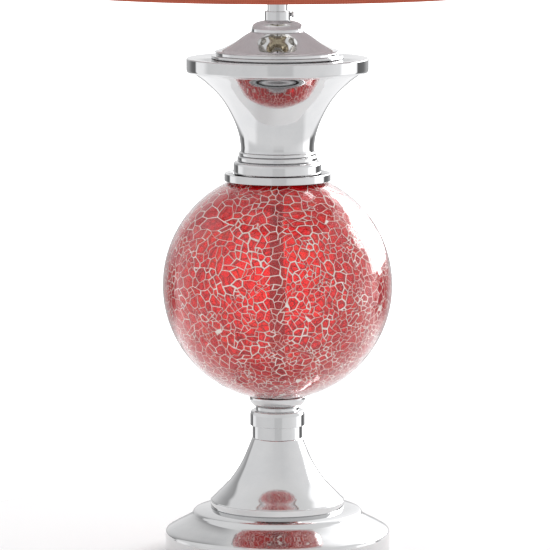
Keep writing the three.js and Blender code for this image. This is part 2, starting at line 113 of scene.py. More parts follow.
def ramp(tree, value, stops):
    """A colour ramp from (position, colour) stops."""
    node = add(tree, "ShaderNodeValToRGB", {"Fac": value})
    while len(node.color_ramp.elements) < len(stops):
        node.color_ramp.elements.new(0.5)
    for stop, (position, _) in zip(node.color_ramp.elements, stops):
        stop.position = position
    for stop, (_, colour) in zip(node.color_ramp.elements, stops):
        stop.color = (*colour, 1)
    return node.outputs["Color"]


def noise_on(tree, scale, detail=3, roughness=0.5, stretch=None):
    """Noise in the object's own metres; scale is features per metre."""
    spot = add(tree, "ShaderNodeTexCoord").outputs["Object"]
    if stretch:
        spot = add(tree, "ShaderNodeMapping", {"Vector": spot, "Scale": stretch}).outputs["Vector"]
    inputs = {"Vector": spot, "Scale": scale, "Detail": detail, "Roughness": roughness}
    return add(tree, "ShaderNodeTexNoise", inputs).outputs["Fac"]


# ---------------------------------------------------------------- camera, floor and light


def make_camera():
    """A long lens at table height, looking slightly down on the lamp."""
    data = bpy.data.cameras.new("camera")
    data.lens = 263
    data.sensor_width = 36
    data.clip_end = 60
    camera = linked(bpy.data.objects.new("camera", data))
    camera.location = (-0.0021, -3.405, 0.6885)
    camera.rotation_euler = (math.radians(90 - 7.45), 0, 0)
    bpy.context.scene.camera = camera


def make_floor():
    """A round pale table top under the lamp."""
    sides = 96
    turns = [2 * math.pi * k / sides for k in range(sides)]
    mesh = bpy.data.meshes.new("floor")
    edge = [(FLOOR_RADIUS * math.cos(a), FLOOR_RADIUS * math.sin(a), 0) for a in turns]
    mesh.from_pydata(edge, [], [tuple(range(sides))])
    material, tree, shader = new_material("pale_floor", Roughness=0.7, Specular_IOR_Level=0.1)
    shader.inputs["Base Color"].default_value = (0.82, 0.82, 0.82, 1)
    mesh.materials.append(material)
    linked(bpy.data.objects.new("floor", mesh))


# Brightness of the studio by compass turn from the camera's side, in degrees towards +X.
# Towards the table's far edge: an even front, with white sides.
TABLE_LIGHT = [(-180, 1.25), (-78, 1.2), (-64, 0.92), (84, 0.92), (98, 1.25), (180, 1.25)]
# At the lamp's own height: a dark screen behind each side, next to a bright strip.
LEVEL_LIGHT = [
    (-180, 0.62), (-150, 0.45), (-138, 0.2), (-127, 0.16), (-124, 1.25), (-108, 1.2), (-98, 0.86),
    (-60, 0.88), (-14, 0.86), (-11, 0.74), (18, 0.74), (21, 0.9), (60, 0.98), (86, 1.15), (90, 1.7),
    (118, 1.7), (122, 0.16), (140, 0.22), (152, 0.5), (180, 0.62),
]
# Above: a dim left wall, and a white one on the right.
UPPER_LIGHT = [
    (-180, 0.95), (-152, 0.74), (-137, 0.5), (-129, 0.42), (-123, 0.95), (-60, 0.95), (-12, 0.86),
    (20, 0.84), (66, 0.95), (102, 1.05), (109, 1.6), (162, 1.7), (174, 1.1), (180, 0.95),
]


def light_ring(tree, share, stops, brightest):
    """The studio's brightness round one level, as a colour."""
    levels = [(degrees, light / brightest) for degrees, light in stops]
    return ramp(tree, share, [((turn + 180) / 360, (v, v, v * 1.01)) for turn, v in levels])


def light_blend(tree, height, start, end, below, above):
    """One level of the studio passing into the next between two heights."""
    inputs = {"Value": height, "From Min": start, "From Max": end}
    rise = add(tree, "ShaderNodeMapRange", inputs, interpolation_type="SMOOTHSTEP").outputs[0]
    inputs = {"Factor": rise, "A": below, "B": above}
    return add(tree, "ShaderNodeMix", inputs, data_type="RGBA").outputs["Result"]


def make_world():
    """A white studio all round. The camera itself sees plain white behind the lamp."""
    world = bpy.data.worlds.new("studio")
    world.use_nodes = True
    tree = world.node_tree
    tree.nodes.clear()
    place = add(tree, "ShaderNodeTexCoord").outputs["Generated"]
    parts = add(tree, "ShaderNodeSeparateXYZ", {0: place}).outputs
    back = figure(tree, "MULTIPLY", parts["Y"], -1)
    share = spread(tree, figure(tree, "ARCTAN2", parts["X"], back), 0, 1, -math.pi, math.pi)
    brightest = max(light for _, light in [*TABLE_LIGHT, *LEVEL_LIGHT, *UPPER_LIGHT])
    rings = (TABLE_LIGHT, LEVEL_LIGHT, UPPER_LIGHT)
    table, level, upper = [light_ring(tree, share, stops, brightest) for stops in rings]
    ceiling = add(tree, "ShaderNodeRGB").outputs[0]
    ceiling.default_value = (*[CEILING / brightest] * 3, 1)
    whole = light_blend(tree, parts["Z"], -0.36, -0.24, table, level)
    whole = light_blend(tree, parts["Z"], -0.03, 0.09, whole, upper)
    whole = light_blend(tree, parts["Z"], 0.75, 0.95, whole, ceiling)
    studio = add(tree, "ShaderNodeBackground", {"Color": whole, "Strength": brightest})
    plain = add(tree, "ShaderNodeBackground", {"Color": (1, 1, 1, 1), "Strength": BACKDROP})
    seen = add(tree, "ShaderNodeLightPath").outputs["Is Camera Ray"]
    either = add(tree, "ShaderNodeMixShader", {"Fac": seen, 1: studio.outputs[0], 2: plain.outputs[0]})
    add(tree, "ShaderNodeOutputWorld", {"Surface": either.outputs[0]})
    bpy.context.scene.world = world
    bpy.context.scene.view_settings.view_transform = "Standard"
    # the coat, the glass pieces and the blown ball lie one behind another
    bpy.context.scene.cycles.transparent_max_bounces = 24


def make_softbox(name, turn, rise, distance, width, height, brightness):
    """A rectangular softbox aimed at the globe. turn is degrees from the camera's side
    towards +X, and rise degrees above the globe's middle."""
    globe = (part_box("glass_globe")[0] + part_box("glass_globe")[1]) / 2
    a = math.radians(turn)
    e = math.radians(rise)
    way = Vector((math.sin(a) * math.cos(e), -math.cos(a) * math.cos(e), math.sin(e)))
    data = bpy.data.lights.new(name, "AREA")
    data.shape = "RECTANGLE"
    data.size = width
    data.size_y = height
    data.energy = brightness * math.pi * width * height
    light = linked(bpy.data.objects.new(name, data))
    light.location = globe + way * distance
    light.rotation_euler = (-way).to_track_quat("-Z", "Y").to_euler()


# ---------------------------------------------------------------- shapes


def finish_piece(piece, body, slot, *stands_for):
    """The piece moves with its body and stands for the plain solids it is made after.
    The slot is not used."""
    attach(piece, body)
    if stands_for:
        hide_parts(*stands_for)
    return piece


def piece_from(name, points, faces, material):
    """A new object at the origin from points and faces."""
    mesh = bpy.data.meshes.new(name)
    mesh.from_pydata(points, [], faces)
    mesh.validate()
    mesh.polygons.foreach_set("use_smooth", [True] * len(mesh.polygons))
    mesh.materials.append(material)
    return linked(bpy.data.objects.new(name, mesh))


def mm(r, z, *corners):
    """Corners of an outline in millimetres off a place in metres, each (out, up) or
    (out, up, rounding)."""
    return [(r + c[0] * MM, z + c[1] * MM, *(v * MM for v in c[2:])) for c in corners]


def turned(name, profile, material, steps=ROUND, closed=False, shape=None):
    """A piece turned about the lamp's axis. profile is (radius, height) pairs that run up
    the outside; closed joins the last to the first, for a shell or a ring. shape may move
    each point, from (radius, turn, height) to a new radius and height."""
    points = []
    rows = []
    for r, z in profile:
        if r < 1e-7:
            rows.append([len(points)])
            points.append((0, 0, z))
            continue
        rows.append(list(range(len(points), len(points) + steps)))
        for i in range(steps):
            a = 2 * math.pi * i / steps
            rr, zz = shape(r, a, z) if shape else (r, z)
            points.append((rr * math.cos(a), rr * math.sin(a), zz))
    pairs = list(zip(rows, rows[1:]))
    if closed:
        pairs.append((rows[-1], rows[0]))
    faces = []
    for lower, upper in pairs:
        for i in range(steps):
            j = (i + 1) % steps
            if len(lower) == 1:
                faces.append((lower[0], upper[j], upper[i]))
            elif len(upper) == 1:
                faces.append((lower[i], lower[j], upper[0]))
            else:
                faces.append((lower[i], lower[j], upper[j], upper[i]))
    return piece_from(name, points, faces, material)


def softened(corners, closed=False, steps=5):
    """An outline with rounded corners. Each corner is (radius, height) or
    (radius, height, rounding). A point is added on the straight either side of each
    rounding, so that the flats stay flat in a mirror finish."""
    spots = [Vector((c[0], c[1])) for c in corners]
    rounding = [c[2] if len(c) > 2 else 0 for c in corners]
    out = []
    count = len(spots)
    for i, spot in enumerate(spots):
        ends = i in (0, count - 1) and not closed
        if rounding[i] <= 0 or ends:
            out.append((spot.x, spot.y))
            continue
        before = spots[i - 1] - spot
        after = spots[(i + 1) % count] - spot
        reach = min(rounding[i], before.length * 0.45, after.length * 0.45)
        a = before.normalized() * reach
        b = after.normalized() * reach
        out.append(tuple(spot + a * 1.1))
        for k in range(steps + 1):
            t = k / steps
            out.append(tuple(spot + a * (1 - t) ** 2 + b * t**2))
        out.append(tuple(spot + b * 1.1))
    return out


def through(spots, steps=8):
    """A smooth line through a few points, by Catmull-Rom."""
    pts = [Vector(s) for s in spots]
    pts = [pts[0] * 2 - pts[1], *pts, pts[-1] * 2 - pts[-2]]
    out = []
    for i in range(1, len(pts) - 2):
        p0, p1, p2, p3 = pts[i - 1 : i + 3]
        for k in range(steps):
            t = k / steps
            spot = (
                p1 * 2
                + (p2 - p0) * t
                + (p0 * 2 - p1 * 5 + p2 * 4 - p3) * t**2
                + (p1 * 3 - p0 - p2 * 3 + p3) * t**3
            ) * 0.5
            out.append(tuple(spot))
    out.append(tuple(pts[-2]))
    return out


def arc_line(r, centre, start, end, steps):
    """Part of a circle in the outline's plane, from one angle to another in radians."""
    turns = [start + (end - start) * k / steps for k in range(steps + 1)]
    return [(r * math.cos(a), centre + r * math.sin(a)) for a in turns]


def rimmed(r, bottom, top, lower, upper):
    """The corners of a plain ring whose two outside edges are rounded."""
    return [(r - 2 * lower, bottom), (r, bottom, lower), (r, top, upper), (r - 2 * upper, top)]


def ring_of(name, corners, inner, material, **more):
    """A turned ring from the corners of its outside, bottom to top, with a plain bore."""
    whole = [(inner, corners[0][1]), *softened(corners), (inner, corners[-1][1])]
    return turned(name, whole, material, closed=True, **more)


def swept(name, path, thickness, material, sides=14, closed=False):
    """A round wire of the given radius along a path, with flat closed ends."""
    spots = [Vector(p) for p in path]
    count = len(spots)
    points = []
    side = None
    for i, spot in enumerate(spots):
        ahead = spots[(i + 1) % count] if closed or i < count - 1 else spot
        behind = spots[i - 1] if closed or i > 0 else spot
        along = (ahead - behind).normalized()
        if side is None:
            side = along.orthogonal().normalized()
        side = (side - along * side.dot(along)).normalized()
        other = along.cross(side)
        for k in range(sides):
            a = 2 * math.pi * k / sides
            points.append(tuple(spot + (side * math.cos(a) + other * math.sin(a)) * thickness))
    faces = []
    for i in range(count if closed else count - 1):
        j = (i + 1) % count
        for k in range(sides):
            m = (k + 1) % sides
            faces.append((i * sides + k, i * sides + m, j * sides + m, j * sides + k))
    if not closed:
        faces.append(tuple(reversed(range(sides))))
        faces.append(tuple((count - 1) * sides + k for k in range(sides)))
    return piece_from(name, points, faces, material)


# ---------------------------------------------------------------- finishes


def new_material(name, **values):
    """A Principled material with these values on its own sockets."""
    material = bpy.data.materials.new(name)
    material.use_nodes = True
    shader = material.node_tree.nodes["Principled BSDF"]
    for key, value in values.items():
        shader.inputs[key.replace("_", " ")].default_value = value
    return material, material.node_tree, shader


def coloured(tree, shader, value, *stops):
    tree.links.new(ramp(tree, value, stops), shader.inputs["Base Color"])


def roughened(tree, shader, value, smooth, rough):
    tree.links.new(spread(tree, value, smooth, rough), shader.inputs["Roughness"])


def bump(tree, shader, height, strength, distance):
    """Relief on the shader's normal, distance in metres."""
    node = add(tree, "ShaderNodeBump", {"Strength": strength, "Distance": distance, "Height": height})
    tree.links.new(node.outputs["Normal"], shader.inputs["Normal"])


def let_through(tree, shader, share, colour):
    """Light passes straight through where share is low, in a colour."""
    clear = add(tree, "ShaderNodeBsdfTransparent", {"Color": colour}).outputs[0]
    mix = add(tree, "ShaderNodeMixShader", {"Fac": share, 1: clear, 2: shader.outputs[0]})
    tree.links.new(mix.outputs[0], tree.nodes["Material Output"].inputs["Surface"])


def moulded(name, dark, light, roughness, mottle, relief, grain=12, strength=0.5, **more):
    """Mottled colour and a fine grain, for plastic, rubber, board or casting."""
    material, tree, shader = new_material(name, **more)
    coloured(tree, shader, noise_on(tree, mottle, 4, 0.6), (0.3, dark), (0.7, light))
    fine = noise_on(tree, mottle * grain, 3, 0.7)
    roughened(tree, shader, fine, *roughness)
    if relief:
        bump(tree, shader, fine, strength, relief)
    return material


def plated(name, dark, light, roughness, mottle, relief=0.0):
    """Metal whose colour and roughness wander a little between two values."""
    return moulded(name, dark, light, roughness, mottle, relief, 9, 0.4, Metallic=1.0)


def make_clear_glass():
    """Thin blown glass, nearly all let through, with faint cords in it."""
    material, tree, shader = new_material("blown_glass", Roughness=0.04, IOR=1.5)
    cords = noise_on(tree, 30, 2, 0.4, (1, 1, 0.3))
    coloured(tree, shader, cords, (0.3, (0.8, 0.84, 0.83)), (0.7, (0.9, 0.92, 0.91)))
    bump(tree, shader, cords, 0.2, 0.0004)
    facing = add(tree, "ShaderNodeLayerWeight", {"Blend": 0.15}).outputs["Facing"]
    let_through(tree, shader, spread(tree, facing, 0.03, 0.3, 0, 1), (0.98, 0.985, 0.985, 1))
    return material


def make_red_glass():
    """Red glass chips, each with its own red, clear enough to glow and show the tube."""
    material, tree, shader = new_material("red_glass_chips", IOR=1.52)
    tint = add(tree, "ShaderNodeAttribute", attribute_name="tint").outputs["Fac"]
    inner = noise_on(tree, 380, 3, 0.6)
    shift = figure(tree, "MULTIPLY_ADD", inner, 0.55, tint)
    place = figure(tree, "ADD", shift, -0.275, use_clamp=True)
    dark_reds = [(0.0, (0.42, 0.008, 0.022)), (0.15, (0.6, 0.012, 0.03)), (0.5, (0.74, 0.02, 0.038))]
    coloured(tree, shader, place, *dark_reds, (0.85, (0.82, 0.035, 0.034)), (1.0, (0.88, 0.075, 0.03)))
    roughened(tree, shader, noise_on(tree, 900, 2, 0.6), 0.05, 0.16)
    bump(tree, shader, inner, 0.25, 0.0003)
    lit = [(0.0, (0.74, 0.08, 0.1)), (0.15, (0.92, 0.14, 0.16)), (0.5, (0.97, 0.19, 0.18))]
    lit.append((1.0, (0.98, 0.38, 0.2)))
    facing = add(tree, "ShaderNodeLayerWeight", {"Blend": 0.35}).outputs["Facing"]
    let_through(tree, shader, spread(tree, facing, 0.13, 0.85, 0, 1), ramp(tree, place, lit))
    return material


def make_gloss_coat():
    """The clear coat over the mosaic. It mirrors more towards its edge, and its surface
    follows the chips: each patch leans a little its own way."""
    material, tree, shader = new_material("gloss_coat", Metallic=1.0)
    smear = noise_on(tree, 240, 3, 0.6)
    coloured(tree, shader, smear, (0.3, (0.93, 0.93, 0.93)), (0.7, (1.0, 1.0, 1.0)))
    roughened(tree, shader, smear, 0.03, 0.08)
    spot = add(tree, "ShaderNodeTexCoord").outputs["Object"]
    patch = add(tree, "ShaderNodeTexVoronoi", {"Vector": spot, "Scale": 120.0}).outputs
    arm = add(tree, "ShaderNodeVectorMath", {0: spot, 1: patch["Position"]}, operation="SUBTRACT")
    lean = add(tree, "ShaderNodeVectorMath", {0: patch["Color"], 1: (0.5, 0.5, 0.5)}, operation="SUBTRACT")
    slope = {0: arm.outputs["Vector"], 1: lean.outputs["Vector"]}
    height = add(tree, "ShaderNodeVectorMath", slope, operation="DOT_PRODUCT").outputs["Value"]
    bump(tree, shader, height, 1.0, COAT_LEAN)
    facing = add(tree, "ShaderNodeLayerWeight", {"Blend": 0.5}).outputs["Facing"]
    share = spread(tree, figure(tree, "POWER", facing, 4.4), 0.035, 1.0, 0, 1)
    let_through(tree, shader, share, (0.995, 0.995, 0.995, 1))
    return material


def make_grout():
    """Cream grout, slightly dirty in places."""
    material, tree, shader = new_material("cream_grout", IOR=1.5)
    creams = [(0.25, (0.7, 0.6, 0.53)), (0.5, (0.86, 0.79, 0.73)), (0.75, (0.93, 0.89, 0.85))]
    coloured(tree, shader, noise_on(tree, 90, 4, 0.6), *creams)
    sand = noise_on(tree, 1600, 2, 0.6)
    roughened(tree, shader, sand, 0.45, 0.7)
    bump(tree, shader, sand, 0.3, 0.0002)
    return material


def make_frosted_glass():
    """The bulb's etched white glass."""
    deep = {"Subsurface_Weight": 0.3, "Subsurface_Radius": (0.01, 0.01, 0.01)}
    material, tree, shader = new_material("frosted_glass", IOR=1.5, **deep)
    cloud = noise_on(tree, 70, 3, 0.5)
    coloured(tree, shader, cloud, (0.3, (0.84, 0.83, 0.79)), (0.7, (0.9, 0.9, 0.87)))
    fine = noise_on(tree, 2500, 2, 0.5)
    roughened(tree, shader, fine, 0.3, 0.45)
    bump(tree, shader, fine, 0.2, 0.00005)
    return material


def make_shade_cloth(name, dark, light, yarn):
    """Plain-weave cloth on the piece's own UV map, which is in metres: crossing threads
    with slubs, and a soft sheen. yarn is the spacing of the threads."""
    sheen = {"Sheen_Weight": 0.35, "Sheen_Roughness": 0.5, "Sheen_Tint": (1.0, 0.7, 0.6, 1)}
    material, tree, shader = new_material(name, Specular_IOR_Level=0.2, **sheen)
    uv = add(tree, "ShaderNodeUVMap", uv_map="cloth").outputs["UV"]
    wavy = {"Vector": uv, "Scale": 1 / yarn / 20 * math.pi}
    wavy |= {"Distortion": 1.2, "Detail": 2, "Detail Scale": 2.5}
    kind = {"kind": "ShaderNodeTexWave", "inputs": wavy, "wave_type": "BANDS"}
    heights = [add(tree, bands_direction=way, **kind).outputs["Fac"] for way in ("X", "Y")]
    place = add(tree, "ShaderNodeMapping", {"Vector": uv, "Scale": (60, 900, 1)}).outputs[0]
    slub = add(tree, "ShaderNodeTexNoise", {"Vector": place, "Scale": 1.0, "Detail": 3.0}).outputs["Fac"]
    both = figure(tree, "MULTIPLY_ADD", figure(tree, "ADD", *heights), 0.25, slub)
    coloured(tree, shader, both, (0.35, dark), (0.95, light))
    roughened(tree, shader, slub, 0.8, 0.95)
    bump(tree, shader, both, 0.6, 0.0003)
    return material


chrome = plated("polished_chrome", (0.62, 0.625, 0.63), (0.66, 0.66, 0.66), (0.035, 0.07), 60)
satin_nickel = plated("satin_nickel", (0.5, 0.48, 0.44), (0.62, 0.6, 0.56), (0.18, 0.3), 180, 0.00002)
zinc_plate = plated("zinc_plate", (0.42, 0.43, 0.44), (0.6, 0.61, 0.6), (0.3, 0.45), 300, 0.00004)
holder_brass = plated("holder_brass", (0.4, 0.34, 0.23), (0.54, 0.47, 0.34), (0.16, 0.3), 160, 0.00002)
cast_iron = moulded("cast_iron", (0.05, 0.05, 0.052), (0.1, 0.1, 0.105), (0.6, 0.85), 160, 0.0004,
                    Metallic=0.6)
black_rubber = moulded("black_rubber", (0.014, 0.014, 0.015), (0.03, 0.03, 0.03), (0.6, 0.8), 260, 0.0001)
pressed_board = moulded("pressed_board", (0.22, 0.15, 0.09), (0.38, 0.28, 0.18), (0.8, 0.95), 500, 0.0002)
phenolic = moulded("phenolic", (0.012, 0.01, 0.009), (0.026, 0.02, 0.016), (0.25, 0.4), 220, 0.00003)
wool_felt = moulded("wool_felt", (0.03, 0.032, 0.031), (0.07, 0.073, 0.07), (0.9, 1.0), 700, 0.0005,
                    Sheen_Weight=0.5, Sheen_Roughness=0.6)
# The backing sheet is white; its pinkish grey is painted red light coming through the shade's cloth.
backing_painted_pink_glow = moulded("backing_painted_pink_glow", (0.74, 0.69, 0.7), (0.84, 0.79, 0.8), (0.4, 0.55), 90, 0.0001)
clear_glass = make_clear_glass()
red_glass = make_red_glass()
cream_grout = make_grout()
gloss_coat = make_gloss_coat()
frosted_glass = make_frosted_glass()
shade_cloth = make_shade_cloth("shade_cloth", (0.28, 0.05, 0.024), (0.58, 0.12, 0.064), 0.9 * MM)
# The hems and the seam are the shade's own cloth; this darker copy of it is painted shade of the rolled
# edge.
hem_cloth_painted_shade = make_shade_cloth("hem_cloth_painted_shade", (0.27, 0.056, 0.031), (0.5, 0.12, 0.07), 0.7 * MM)
thread = moulded("sewing_thread", (0.3, 0.06, 0.035), (0.5, 0.13, 0.08), (0.7, 0.85), 900, 0.00005)

make_camera()
make_floor()
make_world()
make_softbox("right_softbox", 134, 19, 3.0, 2.6, 1.8, 5.5)

# ---------------------------------------------------------------- turned metal


def between(node, narrow, wide, shares):
    """An outline given as (share of height, share of the spread from narrow to wide)."""
    bottom = low(node)
    rise = high(node) - bottom
    return [(narrow + r * (wide - narrow), bottom + z * rise) for z, r in shares]


def make_base_shell():
    """The foot: plinth wall, rolled shoulder, flaring skirt and a small step, as a shell."""
    rim = low("base_shell")
    top = high("base_shell")
    wide = radius("base_shell")
    ring = radius("base_ring")
    wall = softened([(wide - WALL, rim), *mm(wide, rim, (0, 0, 0.6), (0, 18.6))])
    shoulder = mm(wide, rim, (0, 19), (-1.2, 22.4), (-8, 26.5), (-16.1, 30.8), (-21.3, 34.2), (-23.7, 36.6))
    step = [*mm(wide, rim, (-24.1, 38), (-25.9, 39.4), (-32.5, 41.1)), (ring, top)]
    outside = [*wall[1:], *through(shoulder, 6), *through(step, 6), (BORE, top)]
    inside = [(BORE, top - WALL), (ring, top - WALL)]
    inside += mm(wide, rim, (-27.5, 37.4), (-18.5, 29.4), (-3.5, 21.4))
    inside += mm(wide - WALL, rim, (0, 18), (0, 0))
    return turned("foot_shell", [*outside, *inside], chrome, closed=True)


def make_bell():
    """The bell over the base ring, a smooth concave flare."""
    shares = [(0.0, 1.0), (0.1, 0.848), (0.315, 0.541), (0.589, 0.267), (0.852, 0.09), (1.0, 0.0)]
    outside = through(between("bell", radius("neck_collar_lower"), radius("bell"), shares), 10)
    inside = [(max(r - WALL, BORE), z - 0.6 * MM) for r, z in reversed(outside[2::4])]
    whole = [*outside, (BORE, high("bell")), (BORE, high("bell") - WALL), *inside]
    return turned("bell_flare", [*whole, (outside[0][0] - WALL, low("bell"))], chrome, closed=True)


def make_trumpet():
    """The trumpet over the bead rings, a smooth flare opening upwards."""
    narrow = 31.4 * MM
    shares = [(0.0, 0.002), (0.068, 0.0), (0.231, 0.044), (0.439, 0.171), (0.677, 0.402), (0.869, 0.712)]
    outside = through(between("trumpet", narrow, radius("trumpet"), [*shares, (1.0, 1.0)]), 10)
    floor = low("trumpet") + WALL
    inside = [(outside[-1][0] - 3 * MM, high("trumpet"))]
    inside += [(r - WALL, z) for r, z in reversed(outside[2:-4:4])]
    inside += [(narrow - WALL, floor), (BORE, floor), (BORE, low("trumpet"))]
    return turned("trumpet_flare", [*outside, *inside], chrome, closed=True)


def make_dome():
    """The shallow dome above the step rings."""
    shares = [(0.0, 1.0), (0.064, 0.964), (0.152, 0.801), (0.468, 0.463), (0.801, 0.189), (1.0, 0.0)]
    outside = through(between("dome", 22.8 * MM, radius("dome"), shares), 8)
    whole = [*outside, (BORE, high("dome")), (BORE, low("dome"))]
    return turned("shallow_dome", whole, chrome, closed=True)


def make_dome_cap():
    """The rounded cap on the dome: a short straight wall under a soft shoulder."""
    r = radius("dome_cap")
    bottom = low("dome_cap")
    top = high("dome_cap")
    wall = softened(mm(r, bottom, (-1, 0), (0, 0, 0.4), (-0.1, 2.4)))
    shoulder = [*mm(r, bottom, (-0.2, 3), (-1.5, 6)), *mm(r, top, (-4.6, -1.6), (-9.2, -0.3))]
    shoulder = through([*shoulder, (11.4 * MM, top)], 8)
    return turned("dome_cap_turned", [(BORE, bottom), *wall, *shoulder, (BORE, top)], chrome, closed=True)


def make_globe_cup():
    """The cup under the globe."""
    r = radius("globe_cup")
    bottom = low("globe_cup")
    top = high("globe_cup")
    floor = bottom + 2.2 * MM
    curve = [(radius("neck_ring"), bottom), *mm(r, bottom, (-2.3, 2.5), (-0.5, 6)), (r, top)]
    inside = [*mm(r, top, (-1.2, 0), (-2.4, -1.4)), (r - 6 * MM, floor), (BORE, floor), (BORE, bottom)]
    return turned("globe_cup_turned", [*through(curve, 6), *inside], chrome, closed=True)


def make_globe_cap_ring():
    """The ring on top of the globe, open to the globe's upper hole."""
    r = radius("globe_cap_ring")
    bottom = low("globe_cap_ring")
    top = high("globe_cap_ring")
    corners = [*mm(r, bottom, (-1.4, 0.3), (0, 0, 0.6)), *mm(r, top, (0, 0, 0.7))]
    corners += [(UPPER_HOLE, top), (UPPER_HOLE, bottom + 3.4 * MM)]
    return turned("globe_cap_ring_turned", softened(corners, closed=True), chrome, closed=True)


def make_set_screw():
    """The small slotted screw in the side of the stem collar."""
    lo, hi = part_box("set_screw")
    head = (hi.z - lo.z) / 2
    profile = [(0, lo.x), (head * 0.6, lo.x), (head * 0.6, hi.x - 2 * MM)]
    profile += mm(head, hi.x, (0, -2, 0.2), (0, 0, 0.6))
    profile += mm(0, hi.x, (0.35, 0), (0.35, -0.5), (0, -0.5))
    screw = turned("set_screw_turned", softened(profile), chrome, steps=40)
    height = Matrix.Translation((0, 0, (lo.z + hi.z) / 2))
    screw.data.transform(height @ Matrix.Rotation(math.pi / 2, 4, "Y"))
    return screw


def ring_corners():
    """The corners of each polished ring, collar and tube, from the foot up."""
    roundings = {
        # node: rounding of the lower and of the upper outside edge
        "base_ring": (0.8 * MM, 0.8 * MM),
        "neck_collar_lower": (0.5 * MM, 0.5 * MM),
        "neck_ring": (0.4 * MM, 0.4 * MM),
        "top_disc": (3.2 * MM, 1.2 * MM),
        "step_ring_lower": (0.4 * MM, 0.7 * MM),
        "step_ring_upper": (0.4 * MM, 0.8 * MM),
        "stem_tube": (0.2 * MM, 0.4 * MM),
        "stem_collar": (0.5 * MM, 0.6 * MM),
        "bead_ring_lower": (1.6 * MM, 1.6 * MM),
        "bead_ring_upper": (1.4 * MM, 1.4 * MM),
    }
    corners = {}
    for node, rounding in roundings.items():
        # the left side, because the stem collar's right side has a hole for its screw
        corners[node] = rimmed(-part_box(node)[0].x, low(node), high(node), *rounding)
    node = "neck_collar_upper"
    r = radius(node)
    shoulder = mm(r, high(node), (0, -3.5, 0.8), (-0.9, -0.6, 0.4), (-2.1, 0))
    corners[node] = [*mm(r, low(node), (-1, 0), (0, 0, 0.5)), *shoulder]
    node = "globe_cap"
    r = radius(node)
    corners[node] = [*mm(r, low(node), (-1, 0), (0, 0, 0.4)), *mm(r, high(node), (0, 0, 3.2), (-7, 0))]
    return corners


def make_turned_metal():
    """Every polished piece of the lamp."""
    shells = {"base_shell": make_base_shell, "bell": make_bell, "trumpet": make_trumpet}
    fittings = {
        "dome_cap": make_dome_cap,
        "globe_cup": make_globe_cup,
        "globe_cap_ring": make_globe_cap_ring,
        "set_screw": make_set_screw,
    }
    for node, make in {**shells, "dome": make_dome}.items():
        finish_piece(make(), "lamp", "chrome", node)
    for node, corners in ring_corners().items():
        finish_piece(ring_of(f"{node}_turned", corners, BORE, chrome), "lamp", "chrome", node)
    for node, make in fittings.items():
        finish_piece(make(), "lamp", "chrome", node)


make_turned_metal()

# ---------------------------------------------------------------- globe and mosaic

SKIN_OUTER = radius("mosaic_skin")
# the skin is open at the bottom, so its middle is found from the lower hole
GLOBE_CENTRE = low("mosaic_skin") + math.sqrt(SKIN_OUTER**2 - LOWER_HOLE**2)
SKIN_INNER = SKIN_OUTER - 2.6 * MM
COAT_DEPTH = 0.4 * MM
CHIP_DEPTH = 2.0 * MM


